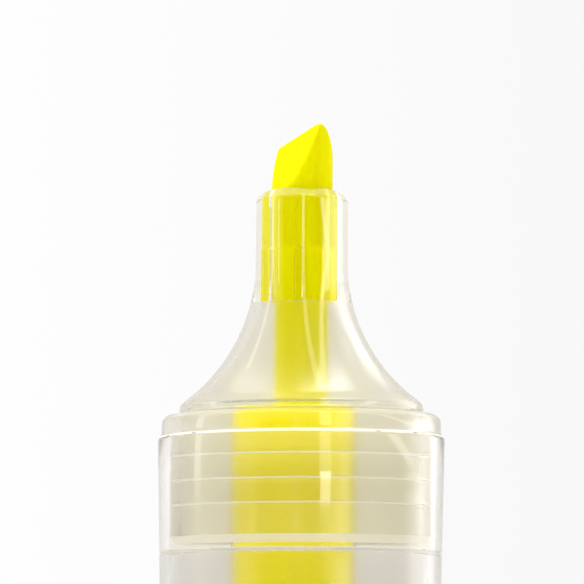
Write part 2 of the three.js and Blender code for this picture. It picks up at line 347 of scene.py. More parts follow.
# The places of the finishes in the lists of both clear mouldings.
OUTSIDE, INSIDE, SEAT, END = 0, 1, 2, 3


def barrel_section(height):
    """The outside tapers fastest below the rim and runs out parallel at the tail."""
    down = (rim - height) / (rim - tail)
    return between(barrel_mouth, barrel_tail, 1 - (1 - down) ** 2)


def barrel_mesh():
    top, foot = millimetres(rim), millimetres(tail)
    counterbore = inset(barrel_mouth, counterbore_wall)
    counterbore_foot = top - counterbore_depth
    outside_steps = 20
    rings = [ring(inset(barrel_tail, barrel_wall), foot, 0.15, OUTSIDE)]
    for i in range(outside_steps + 1):
        height = foot + (top - foot) * i / outside_steps
        rounding = lip_rounding if i in (0, outside_steps) else 0
        finish = END if i == outside_steps else OUTSIDE
        rings.append(ring(barrel_section(height * MM), height, rounding, finish))
    rings.append(ring(counterbore, top, 0.2, SEAT))
    step = counterbore_foot + counterbore_step
    rings.append(ring(inset(counterbore, counterbore_draft), step, 0.1, END))
    lower = inset(barrel_section(counterbore_foot * MM), barrel_wall)
    rings.append(ring(lower, counterbore_foot, 0.1, INSIDE))
    inside_steps = 12
    for i in range(1, inside_steps):
        height = counterbore_foot + (foot - counterbore_foot) * i / inside_steps
        rings.append(ring(inset(barrel_section(height * MM), barrel_wall), height, 0, INSIDE))
    return oval_body(rings)


piece(
    "barrel_tube", barrel_mesh(), [polished_face, cored_face, seat_face, frosted_end],
    "pen_body", ["barrel"],
)


# ==== Nose ==================================================================================
# One clear moulding: a round collar that grips the nib, a trumpet flare, two stepped ledges
# that the cap seats on, and a skirt with snap beads that is pressed into the barrel.

lower_ledge = (11.5, 7.75)
upper_ledge = (9.97, 6.25)
flare_foot = (9.5, 5.8)
flare_foot_height = 2.95
flare_radius = 14.16
flare_top = 14.4
collar_radius = 3.76
collar_top = 20.1
nose_wall = 1.05
grip_foot = 10.8
grip_bore = 2.65
bore_limit = 2.7
upper_rib_reach = 2.54
skirt_depth = 8.9
skirt_wall = 0.9
pocket_top = 2.62
push_fit = 0.09
bead_count = 3
bead_pitch = 1.96
bead_half_width = 0.14
bead_height = 0.085
top_bead_depth = 1.87
rib_count = 6
rib_turn = 5.0
rib_width = 0.7
upper_rib_top = 18.6
stem_radius = 2.13
nib_shoulder = 15.3

COLLAR_BORE, INKED, SKIRT_CORE = 4, 5, 6

# Ink has crept up two of the channels between the ribs: where each wet strip's middle is, in
# degrees round the bore, the heights that it runs between, and how many degrees it covers.
ink_channels = [
    (-149.5, nib_shoulder, 19.9, 20),
    (-151, grip_foot, nib_shoulder, 22),
    (-24.5, grip_foot, 19.9, 17),
]


def flare_section(height, wall):
    drop = flare_top - height
    width = collar_radius + flare_radius - math.sqrt(flare_radius**2 - drop**2)
    spread = (width - collar_radius) / (flare_foot[0] - collar_radius)
    depth = collar_radius + (flare_foot[1] - collar_radius) * spread
    return width - wall, depth - wall


def flare_rings(low, high, count, wall, finish):
    heights = [low + (high - low) * i / (count - 1) for i in range(count)]
    return [(flare_section(h, wall), h, 0, finish) for h in heights]


def nose_mesh():
    top = millimetres(rim)
    skirt = inset(barrel_mouth, counterbore_wall + push_fit)
    skirt_inside = inset(skirt, skirt_wall)
    pocket = inset(upper_ledge, nose_wall - 0.15)
    rings = [
        (skirt_inside, -skirt_depth, 0.1, END),
        (inset(skirt, 0.4), -skirt_depth, 0.1, END),
        (skirt, -skirt_depth + 0.7, 0.1, SEAT),
    ]
    for i in reversed(range(bead_count)):
        crest = -top_bead_depth - bead_pitch * i
        rings.append((skirt, crest - bead_half_width, 0.03, SEAT))
        rings.append((inset(skirt, -bead_height), crest, 0.05, END))
        rings.append((skirt, crest + bead_half_width, 0.03, SEAT))
    rings += [
        (skirt, 0.05, 0.08, END),
        (lower_ledge, 0.05, 0.12, OUTSIDE),
        (inset(lower_ledge, 0.1), 1.38, 0.12, OUTSIDE),
        (inset(lower_ledge, 0.45), 1.71, 0.12, OUTSIDE),
        (inset(upper_ledge, -0.05), 1.95, 0.15, OUTSIDE),
        (upper_ledge, 2.6, 0.15, OUTSIDE),
    ]
    rings += flare_rings(flare_foot_height, flare_top, 30, 0, OUTSIDE)
    rings += [
        ((collar_radius, collar_radius), 19.42, 0.15, OUTSIDE),
        ((3.06, 3.06), collar_top, 0.12, OUTSIDE),
        ((grip_bore, grip_bore), collar_top, 0.12, COLLAR_BORE),
        ((grip_bore, grip_bore), 19.85, 0, COLLAR_BORE),
        ((grip_bore, grip_bore), upper_rib_top, 0, COLLAR_BORE),
        ((grip_bore, grip_bore), nib_shoulder, 0, COLLAR_BORE),
        ((grip_bore, grip_bore), nib_shoulder - 0.1, 0, COLLAR_BORE),
        ((grip_bore, grip_bore), grip_foot, 0, COLLAR_BORE),
    ]
    rings += flare_rings(pocket_top, grip_foot, 20, nose_wall, INSIDE)[::-1]
    rings += [
        (pocket, pocket_top - 0.35, 0.15, SKIRT_CORE),
        (pocket, 1.55, 0.15, SKIRT_CORE),
        (skirt_inside, 1.55, 0.15, SKIRT_CORE),
        (skirt_inside, -0.3, 0, SKIRT_CORE),
    ]
    mesh = oval_body([ring(s, top + h, r, f) for s, h, r, f in rings])
    add_grip_ribs(mesh, grip_foot, nib_shoulder - 0.1, stem_radius + 0.04)
    add_grip_ribs(mesh, nib_shoulder, upper_rib_top, upper_rib_reach)
    for middle, low, high, width in ink_channels:
        wet_the_bore(mesh, middle, low, high, width)
    face_outwards(mesh)
    return mesh


def off_middle(face, middle):
    """How many degrees round the bore a face's centre is from the middle of a rib."""
    centre = face.calc_center_median()
    turn = math.degrees(math.atan2(centre.y, centre.x)) - middle
    return abs((turn + 180) % 360 - 180)


def bore_faces(mesh, low, high, margin):
    """The faces of the collar's bore that lie between two heights above the rim."""
    bottom, top = rim + (low - margin) * MM, rim + (high + margin) * MM
    return [
        face for face in mesh.faces
        if all(bottom < v.co.z < top and v.co.xy.length < bore_limit * MM for v in face.verts)
    ]


def add_grip_ribs(mesh, low, high, reach):
    """Pushes strips of the bore's wall in towards the nib, as ribs with square tops."""
    half_rib = math.degrees(rib_width / grip_bore) / 2
    for i in range(rib_count):
        middle = i * 360 / rib_count - 90 + rib_turn
        strip = [f for f in bore_faces(mesh, low, high, 0.01) if off_middle(f, middle) < half_rib]
        pushed = bmesh.ops.extrude_face_region(mesh, geom=strip)["geom"]
        bmesh.ops.delete(mesh, geom=strip, context="FACES")
        for vert in [item for item in pushed if isinstance(item, bmesh.types.BMVert)]:
            vert.co.xy *= reach * MM / vert.co.xy.length


def pressed_fibre(
    name, bright, deep, streak_scale, bump_depth, glow, top_share=1.0, turns_at=(0, 1)
):
    """Ink-soaked fibre: long streaks up the rod, paler flecks, and a glow. The glow is partly the
    fluorescent ink's own and partly painted light, standing in for the light that the clear walls
    round the fibre keep from it. The glow turns to a share of itself between two heights above
    the barrel's rim: a painted step in light along the fibre."""
    material, tree = blank_material(name)
    place = object_place(tree)
    drawn = node(tree, "ShaderNodeMapping", {"Scale": (1, 1, 0.06)}, {"Vector": place})
    streak = noise(tree, drawn.outputs["Vector"], streak_scale, 5.0, Roughness=0.6)
    fleck = noise(tree, place, 2600, 3.0)
    mixed = math_of(tree, "MULTIPLY_ADD", fleck, 0.35, streak)
    tone = two_tones(tree, mixed, deep, bright, (0.45, 0.85))
    height = node(tree, "ShaderNodeSeparateXYZ", None, {"Vector": place}).outputs["Z"]
    below, above = (rim + level * MM for level in turns_at)
    # Painted light: the glow's share at each height along the fibre.
    painted_light_share = span(tree, height, below, above, 1.0, top_share)
    glow_with_painted_light = node(
        tree, "ShaderNodeVectorMath", None, {0: tone, "Scale": painted_light_share}, operation="SCALE"
    )
    principled(
        tree,
        {"Roughness": 0.75, "Emission Strength": glow, "Specular IOR Level": 0.03},
        {
            "Base Color": tone,
            "Emission Color": glow_with_painted_light.outputs["Vector"],
            "Normal": bump(tree, mixed, bump_depth, 0.6),
        },
    )
    return material


def wet_the_bore(mesh, middle, low, high, width):
    for face in bore_faces(mesh, low, high, 0.02):
        if off_middle(face, middle) < width / 2:
            face.material_index = INKED


nose_tint = (0.91, 0.885, 0.80)

nose_face = clear_plastic("clear nose polished", nose_tint, 0.04, 0.02)
nose_core_face = clear_plastic("clear nose cored", nose_tint, 0.33)
skirt_core_face = clear_plastic("clear skirt cored", thin_tint, 0.32)
bore_face = clear_plastic("clear nose bore", (0.98, 0.975, 0.94), 0.04, 0.02)
# The ink on the ribs glows partly with painted light.
ink_film = pressed_fibre(
    "ink on the ribs", (0.62, 0.585, 0.0), (0.56, 0.52, 0.0), 900, 0.00001, 0.85
)

piece(
    "nose_moulding",
    nose_mesh(),
    [nose_face, nose_core_face, seat_face, frosted_end, bore_face, ink_film, skirt_core_face],
    "pen_body",
    ["nose"],
)


# ==== Nib ===================================================================================
# A rod of pressed fibre, soaked with fluorescent yellow ink. Its head is ground to a chisel
# with one steep and one shallow face, and its thinner stem is pushed down into the reservoir.

nib_head_radius = 2.5
nib_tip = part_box("nib")[1].z
nib_stem_foot = -5.5
crest_wear = 0.07
# The unworn faces would meet this far above the tip. Wear then cuts the high end flat in three
# steps: how far each leans out along the edge, and how deep it goes.
unworn_rise = 0.38
end_wear = ((0.3, 0.34), (0.9, 0.44), (2.2, 0.34))
edge_heading = math.radians(-32)
edge_rise = 0.376
edge_offset = 0.3
front_bevel = 2.41
back_bevel = 1.15


def cut_flat(mesh, point, outward):
    """Grinds the mesh flat on the outward side of a plane."""
    everything = mesh.verts[:] + mesh.edges[:] + mesh.faces[:]
    cut = bmesh.ops.bisect_plane(
        mesh, geom=everything, dist=1e-7, plane_co=point, plane_no=outward, clear_outer=True
    )
    rim_edges = [item for item in cut["geom_cut"] if isinstance(item, bmesh.types.BMEdge)]
    bmesh.ops.contextual_create(mesh, geom=rim_edges)


def nib_mesh():
    top = millimetres(rim)
    mesh = oval_body(
        [
            ring((stem_radius - 0.3,) * 2, top + nib_stem_foot),
            ring((stem_radius,) * 2, top + nib_stem_foot + 0.4),
            ring((stem_radius,) * 2, top + nib_shoulder),
            ring((nib_head_radius,) * 2, top + nib_shoulder),
            ring((nib_head_radius,) * 2, millimetres(nib_tip) + 2),
        ],
        closed=False,
    )
    close_ends(mesh)
    along = Vector((math.cos(edge_heading), math.sin(edge_heading), 0))
    across = Vector((-math.sin(edge_heading), math.cos(edge_heading), 0))
    half_chord = math.sqrt(nib_head_radius**2 - edge_offset**2) * MM
    high_end = Vector((0, 0, nib_tip + unworn_rise * MM))
    high_end += along * half_chord - across * edge_offset * MM
    # The faces fall away from the writing edge: steeply to the front, gently to the back.
    front = (Vector((0, 0, 1)) - along * edge_rise - across * front_bevel).normalized()
    back = (Vector((0, 0, 1)) - along * edge_rise + across * back_bevel).normalized()
    cut_flat(mesh, high_end, front)
    cut_flat(mesh, high_end, back)
    # Wear takes off the writing edge's crest, and most of all its high end.
    crest = (front + back).normalized()
    cut_flat(mesh, high_end - crest * crest_wear * MM, crest)
    for lean, wear in end_wear:
        worn = (crest + along * lean).normalized()
        cut_flat(mesh, high_end - worn * wear * MM, worn)
    bmesh.ops.triangulate(mesh, faces=[face for face in mesh.faces if len(face.verts) > 4])
    face_outwards(mesh)
    return mesh


def worn_soft(made, grain, passes):
    """Fibre has no sharp edges: an even skin, relaxed until its corners are rounded."""
    skin = made.modifiers.new("even skin", "REMESH")
    skin.mode = "VOXEL"
    skin.voxel_size = grain * MM
    skin.use_smooth_shade = True
    relax = made.modifiers.new("worn corners", "SMOOTH")
    relax.factor = 0.5
    relax.iterations = passes


# Painted light: the nib's glow stands in for light that the collar keeps from it, and drops to
# half above the collar's top, where the nib stands in the open.
nib_fibre = pressed_fibre(
    "inked nib fibre", (0.62, 0.595, 0.0), (0.56, 0.51, 0.0), 1500, 0.00005, 0.9,
    0.5, (collar_top - 0.5, collar_top),
)
nib = piece("nib_rod", nib_mesh(), [nib_fibre], "pen_body", ["nib"])
worn_soft(nib, 0.11, 30)


# ==== Ink reservoir =========================================================================
# A round bundle of polyester fibre, soaked with ink, in a sleeve of thin clear film.
# It stands on the tail plug's web, and the nib's stem is pushed into its top.

film_low, film_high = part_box("reservoir_film")
core_low, core_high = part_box("reservoir_core")
reservoir_radius = millimetres(film_high.x - film_low.x) / 2
core_radius = millimetres(core_high.x - core_low.x) / 2
reservoir_lean = (film_high.x + film_low.x) / 2
film_thickness = 0.1


def lean_over(mesh):
    bmesh.ops.translate(mesh, verts=mesh.verts[:], vec=(reservoir_lean, 0, 0))
    return mesh


def core_mesh():
    low, high = millimetres(core_low.z), millimetres(core_high.z)
    mesh = oval_body([ring((core_radius,) * 2, low), ring((core_radius,) * 2, high)], closed=False)
    close_ends(mesh)
    rims = [edge for edge in mesh.edges if edge.calc_face_angle(0) > 1]
    round_edges(mesh, rims, 0.3)
    return lean_over(mesh)


def film_mesh():
    low, high = millimetres(film_low.z), millimetres(film_high.z)
    inner, outer = (reservoir_radius - film_thickness,) * 2, (reservoir_radius,) * 2
    corners = [(inner, low), (outer, low), (outer, high), (inner, high)]
    return lean_over(oval_body([ring(section, height) for section, height in corners]))


# Painted light: the reservoir glows, and glows 1.4 times as bright at its top inside the nose as
# below the rim.
reservoir_fibre = pressed_fibre(
    "inked reservoir fibre", (0.95, 0.86, 0.0), (0.90, 0.80, 0.0), 700, 0.00008, 0.74,
    1.4, (-4, 2),
)
clear_film = clear_plastic("reservoir film", (0.99, 0.985, 0.9), 0.12, 0.05, 0.05)
piece(
    "reservoir_bundle", core_mesh(), [reservoir_fibre],
    "pen_body", ["reservoir_core"],
)
piece(
    "reservoir_sleeve", film_mesh(), [clear_film],
    "pen_body", ["reservoir_film"],
)


# ==== Tail plug =============================================================================
# A moulded yellow stopper pushed into the barrel's tail. Its web carries the reservoir, its
# flange closes the barrel, and the posted cap slides over the oval spigot below.

flange_foot = millimetres(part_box("cap_shell")[1].z)
spigot = (9.85, 6.12)
spigot_length = 10
plug_wall = 1.1
plug_skirt = 6
plug_skirt_wall = 0.7
web_thickness = 1.2
web_lift = 0.42


def handling_marks_group():
    """Fine scuffs from pockets and desks: thin crossed hairlines, gathered in patches."""
    group = new_group("handling marks", {"Amount": 0.2}, ["Mask"])
    given = node(group, "NodeGroupInput").outputs
    place = object_place(group)
    lines = []
    for turn, stretch in ((0.5, (1, 0.05, 0.3)), (-0.7, (0.08, 1, 0.4))):
        laid = node(
            group, "ShaderNodeMapping", {"Scale": stretch, "Rotation": (turn, turn, 0)},
            {"Vector": place},
        )
        hair = noise(group, laid.outputs["Vector"], 5200, 2.0)
        lines.append(span(group, hair, 0.6, 0.68))
    crossed = math_of(group, "MAXIMUM", *lines)
    gathered = span(group, noise(group, place, 210, 3.0), 0.42, 0.62)
    shown = math_of(group, "MULTIPLY", crossed, gathered)
    mask = math_of(group, "MULTIPLY", shown, given["Amount"])
    node(group, "NodeGroupOutput", None, {"Mask": mask})
    return group


handling_marks = handling_marks_group()


def coloured_plastic(name, colour, shade, polish, marks, grain, glow=0.0):
    """Opaque moulded plastic: flow streaks between two near shades, satin skin, scuffs."""
    material, tree = blank_material(name)
    place = object_place(tree)
    drawn = node(tree, "ShaderNodeMapping", {"Scale": (1, 1, 0.35)}, {"Vector": place})
    flow = noise(tree, drawn.outputs["Vector"], 130, 3.0, Distortion=0.8)
    given = {"Polish": polish, "Patchiness": 0.06, "Wave": 0.7, "Grain": grain}
    skin = node(tree, "ShaderNodeGroup", given, node_tree=moulded_skin).outputs
    scuffs = node(tree, "ShaderNodeGroup", {"Amount": marks}, node_tree=handling_marks).outputs
    tone = two_tones(tree, flow, shade, colour, (0.35, 0.65))
    # On a Mix node that blends colours, 0 is the share, 6 and 7 the colours, 2 the result.
    pale = node(
        tree, "ShaderNodeMix", {7: (0.97, 0.96, 0.6, 1)}, {0: scuffs["Mask"], 6: tone},
        data_type="RGBA",
    )
    cut = math_of(tree, "SUBTRACT", skin["Height"], scuffs["Mask"])
    # The glow, where one is given, is painted light in the plastic's own tone.
    principled(
        tree,
        {"IOR": polypropylene_ior, "Metallic": 0.0, "Emission Strength": glow},
        {
            "Base Color": pale.outputs[2],
            "Emission Color": tone,
            "Roughness": math_of(tree, "ADD", skin["Roughness"], scuffs["Mask"], clamp=True),
            "Normal": bump(tree, cut, 0.00003),
        },
    )
    return material


def plug_mesh():
    foot = flange_foot - spigot_length
    barrel_foot = millimetres(tail)
    skirt = inset(barrel_tail, barrel_wall + push_fit)
    skirt_top = barrel_foot + plug_skirt
    shoulder = flange_foot + push_fit
    hollow = inset(spigot, plug_wall)
    mesh = oval_body(
        [
            ring(inset(spigot, 2.2), foot),
            ring(inset(spigot, 0.7), foot, 0.3),
            ring(spigot, foot + 0.9, 0.3),
            ring(spigot, shoulder, 0.1),
            ring(barrel_tail, shoulder, 0.35),
            ring(barrel_tail, barrel_foot - 0.01, 0.2),
            ring(skirt, barrel_foot - 0.01, 0.1),
            ring(skirt, skirt_top - 0.5),
            ring(inset(skirt, 0.25), skirt_top - 0.02, 0.1),
            ring(inset(skirt, plug_skirt_wall), skirt_top - 0.02, 0.1),
            ring(inset(skirt, plug_skirt_wall), barrel_foot + 0.3, 0.1),
            ring(hollow, barrel_foot - 0.4, 0.2),
            ring(inset(hollow, 0.15), foot + plug_wall, 0.4),
            ring(inset(hollow, 1.5), foot + plug_wall),
        ],
        closed=False,
    )
    close_ends(mesh)
    # The web stands across the hollow, from just above the spigot's end to the barrel's foot.
    height = barrel_foot - foot - web_lift
    web = bmesh.ops.create_cube(mesh, size=1)["verts"]
    web_size = (2 * (hollow[0] - 0.05) * MM, web_thickness * MM, height * MM)
    bmesh.ops.scale(mesh, verts=web, vec=web_size)
    bmesh.ops.translate(mesh, verts=web, vec=(0, 0, (foot + web_lift + height / 2) * MM))
    return mesh


# The plug's glow is painted light, which brightens it where it sits dim inside the barrel.
plug_yellow = coloured_plastic(
    "satin yellow plug", (0.80, 0.74, 0.02), (0.77, 0.69, 0.015), 0.3, 0.06, 0.3, 0.2
)
piece("tail_stopper", plug_mesh(), [plug_yellow], "pen_body", ["tail_plug"])


# ==== Cap shell =============================================================================
# An oval yellow cap, moulded in one shot and posted on the tail plug. Two air holes go
# through its closed end, and a slot in its wall takes the clip's tongue.

cap_length = millimetres(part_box("cap_shell")[1].z)
cap_mouth = (11.4, 7.65)
cap_crown = (10.5, 6.8)
cap_bore = (10.08, 6.36)
cap_bore_end = (9.3, 5.6)
crown_thickness = 1.4
air_hole_radius = 1.1
air_hole_offset = 7.4
slot_low, slot_high = 2.85, 5.15
slot_half_width = 2.4
groove_depth = 0.12


def cap_section(height):
    return between(cap_crown, cap_mouth, height / cap_length)


def bore_section(height):
    share = (height - crown_thickness) / (cap_length - crown_thickness)
    return between(cap_bore_end, cap_bore, share)


def air_hole_rim(mesh, side, height, radius):
    made = bmesh.ops.create_circle(
        mesh, segments=24, radius=radius * MM,
        matrix=Matrix.Translation((side * air_hole_offset * MM, 0, height * MM)),
    )
    return list({edge for vert in made["verts"] for edge in vert.link_edges})


def close_crown(mesh):
    """Fills the crown's two open ends round the air holes, and joins each pair of rims."""
    ends = [edge for edge in mesh.edges if len(edge.link_faces) == 1]
    bottom = [edge for edge in ends if edge.verts[0].co.z < 0.5 * MM]
    top = [edge for edge in ends if edge.verts[0].co.z > 0.5 * MM]
    for side in (-1, 1):
        outer = air_hole_rim(mesh, side, 0, air_hole_radius + 0.2)
        lower = air_hole_rim(mesh, side, 0.2, air_hole_radius)
        upper = air_hole_rim(mesh, side, crown_thickness, air_hole_radius)
        bottom += outer
        top += upper
        bmesh.ops.bridge_loops(mesh, edges=outer + lower)
        bmesh.ops.bridge_loops(mesh, edges=lower + upper)
    for loops in (bottom, top):
        bmesh.ops.triangle_fill(mesh, use_beauty=True, use_dissolve=False, edges=loops)


def cut_clip_slot(mesh):
    opened = [
        face for face in mesh.faces
        if face.calc_center_median().y < -4 * MM
        and all(slot_low - 0.01 < millimetres(v.co.z) < slot_high + 0.01 for v in face.verts)
        and all(abs(v.co.x) < slot_half_width * MM for v in face.verts)
    ]
    bmesh.ops.delete(mesh, geom=opened, context="FACES")
    lips = [edge for edge in mesh.edges if len(edge.link_faces) == 1]
    bmesh.ops.bridge_loops(mesh, edges=lips)


def cap_mesh():
    rings = [
        ring(inset(cap_crown, 1.9), 0),
        ring(inset(cap_crown, 1.35), 0, 0.2),
        ring(inset(cap_crown, 0.45), 0.42, 0.3),
        ring(cap_section(1.4), 1.4, 0.3),
        ring(cap_section(slot_low), slot_low),
        ring(cap_section(slot_high), slot_high),
    ]
    rings += [ring(cap_section(h), h) for h in (12, 20, cap_length - 1.6)]
    # A shallow groove runs round the cap just below its mouth.
    for below_mouth in (1.5, 1.2):
        height = cap_length - below_mouth
        rings.append(ring(inset(cap_section(height), groove_depth), height, 0.05))
    rings += [
        ring(cap_section(cap_length - 1.1), cap_length - 1.1),
        ring(cap_mouth, cap_length, 0.3),
        ring(cap_bore, cap_length, 0.15),
        ring(bore_section(slot_high), slot_high),
        ring(bore_section(slot_low), slot_low),
        ring(cap_bore_end, crown_thickness, 0.3),
        ring(inset(cap_bore_end, 0.6), crown_thickness),
    ]
    mesh = oval_body(rings, closed=False)
    close_crown(mesh)
    cut_clip_slot(mesh)
    face_outwards(mesh)
    return mesh


fluorescent_yellow = (0.78, 0.73, 0.02)
deeper_yellow = (0.75, 0.68, 0.015)
cap_yellow = coloured_plastic(
    "satin yellow cap", fluorescent_yellow, deeper_yellow, 0.26, 0.08, 0.3
)
piece("cap_cup", cap_mesh(), [cap_yellow], "cap", ["cap_shell"])


# ==== Cap liner =============================================================================
# A soft natural polyethylene cup, pressed on the crown inside the cap. Its lip seals round
# the collar when the cap is on the writing end.

liner_bore = 3.86
liner_wall = 0.95
liner_top = 20.5
liner_foot_radius = 5.3


def liner_mesh():
    outer = liner_bore + liner_wall
    foot = crown_thickness + push_fit
    floor, lip = foot + 1.1, liner_top - 0.01
    rings = [
        (liner_foot_radius - 0.6, foot, 0),
        (liner_foot_radius - 0.02, foot, 0.1),
        (liner_foot_radius - 0.02, foot + 0.6, 0.15),
        (outer, floor, 0.15),
        (outer, liner_top - 0.3, 0.15),
        (outer - 0.3, lip, 0.1),
        (liner_bore + 0.3, lip, 0.1),
        (liner_bore, liner_top - 0.4, 0.15),
        (liner_bore, floor, 0.3),
        (liner_bore - 0.8, floor, 0),
    ]
    mesh = oval_body([ring((radius,) * 2, h, r) for radius, h, r in rings], closed=False)
    close_ends(mesh)
    return mesh


liner_white = coloured_plastic(
    "natural white liner", (0.90, 0.90, 0.86), (0.86, 0.86, 0.81), 0.45, 0.08, 0.4
)
piece("cap_seal", liner_mesh(), [liner_white], "cap", ["cap_liner"])


# ==== Cap clip ==============================================================================
# A springy yellow arm along the cap's wall. Its tongue is fixed through the wall's slot, and
# a round nub near its free end presses on the pocket's cloth.

clip_width = 5.4
clip_thickness = 1.5
clip_gap = 1.2
clip_top = 28.5
tongue_width = 4.0
tongue_length = 1.05


def curved(start, control, end, steps=7):
    """Points of a smooth turn from a start to an end, both as distance out and height."""
    points = []
    for i in range(1, steps + 1):
        t = i / steps
        points.append(tuple(
            (1 - t) ** 2 * a + 2 * t * (1 - t) * b + t**2 * c
            for a, b, c in zip(start, control, end)
        ))
    return points


def clip_outline():
    def wall(height):
        return cap_section(height)[1] + 0.12

    def arm_inside(height):
        return cap_section(height)[1] + clip_gap + 0.01

    def arm_outside(height):
        return arm_inside(height) + clip_thickness - 0.02

    nub = clip_top - 2.2
    top = clip_top - 0.01
    shoulder_foot = (wall(3), 3.01)
    elbow = (arm_outside(4), 4.6)
    points = [shoulder_foot]
    points += curved(shoulder_foot, (arm_outside(2) - 0.4, 1.6), elbow)
    arm_end, arm_corner = (arm_outside(top - 1), top - 1), (arm_outside(top), top)
    points += curved(arm_end, arm_corner, (arm_outside(top) - 0.8, top))
    nub_start, nub_end = (arm_inside(top), top), (arm_inside(nub - 2.4), nub - 2.4)
    points += [nub_start] + curved(nub_start, (wall(nub) - 0.68, nub), nub_end, 10)
    arm_foot, shoulder_top = (arm_inside(8), 8), (wall(5), 4.99)
    points += [arm_foot] + curved(arm_foot, (arm_inside(6) - 0.1, 5.2), shoulder_top)
    return points


def clip_mesh():
    mesh = bmesh.new()
    edge_x = -clip_width / 2 * MM
    outline = [mesh.verts.new((edge_x, -out * MM, h * MM)) for out, h in clip_outline()]
    side = mesh.faces.new(outline)
    across = bmesh.ops.extrude_face_region(mesh, geom=[side], use_keep_orig=True)["geom"]
    moved = [item for item in across if isinstance(item, bmesh.types.BMVert)]
    bmesh.ops.translate(mesh, verts=moved, vec=(clip_width * MM, 0, 0))
    face_outwards(mesh)
    # The tongue grows from the low face that is turned to the cap's wall.
    low_faces = [face for face in mesh.faces if face.calc_center_median().z < 5 * MM]
    shoulder = max(low_faces, key=lambda face: face.normal.y)
    bmesh.ops.inset_individual(mesh, faces=[shoulder], thickness=0.1 * MM)
    narrower = (tongue_width / (clip_width - 0.2), 1, 1)
    bmesh.ops.scale(mesh, verts=shoulder.verts[:], vec=narrower)
    pushed = bmesh.ops.extrude_face_region(mesh, geom=[shoulder])["geom"]
    bmesh.ops.delete(mesh, geom=[shoulder], context="FACES")
    reach = [item for item in pushed if isinstance(item, bmesh.types.BMVert)]
    bmesh.ops.translate(mesh, verts=reach, vec=(0, tongue_length * MM, 0))
    # Only the arm's two long outlines are rounded, not the tongue.
    arm_front = -(cap_crown[1] + 0.5) * MM
    long_edges = [
        edge for edge in mesh.edges
        if edge.calc_face_angle(0) > 1.2
        and all(v.co.y < arm_front and abs(v.co.x) > 2.6 * MM for v in edge.verts)
        and edge.verts[0].co.x * edge.verts[1].co.x > 0
    ]
    round_edges(mesh, long_edges, 0.35)
    face_outwards(mesh)
    return mesh


clip_yellow = coloured_plastic(
    "satin yellow clip", fluorescent_yellow, deeper_yellow, 0.24, 0.12, 0.3
)
piece("pocket_clip", clip_mesh(), [clip_yellow], "cap", ["cap_clip"])


# ==== Studio ================================================================================
# A bright white surround behind the pen, softer to the sides, and a pale floor. Soft lights
# beside and above light the pen, and panels in the surround draw the highlights on its gloss.

behind_the_pen = (-math.sin(camera_azimuth), math.cos(camera_azimuth), 0)
to_the_pens_right = tuple(to_the_right)
DEGREES = 180 / math.pi
# Panels that the gloss mirrors: degrees to the camera's right, degrees up, each as from, to
# and softness, and brightness.
panels = [
    ((-81.6, -75.2, 0.8), (2.6, 41, 1.0), 3.0),
    ((-0.4, 6.6, 0.8), (2.4, 60, 0.4), 2.6),
    ((0.1, 6.1, 0.6), (2.2, 3.4, 0.2), 10.0),
    ((-14, 42, 16), (50, 68, 10), 6.5),
    ((92, 128, 12), (30, 52, 9), 3.5),
    ((55, 80, 8), (36, 50, 6), 1.2),
    ((72, 120, 12), (-30, 24, 12), 3.0),
    ((-92, -43, 12), (42, 60, 8), 2.0),
    ((-180, 180, 1), (40, 85, 20), 0.5),
]
# One more strip leans: its degrees to the right follow a curve of its degrees up.
leaning_curve = (88.08, -2.468, 0.0171)
leaning_across = (-5, 5, 3)
leaning_rise = (7, 60, 3)
leaning_brightness = 4.0


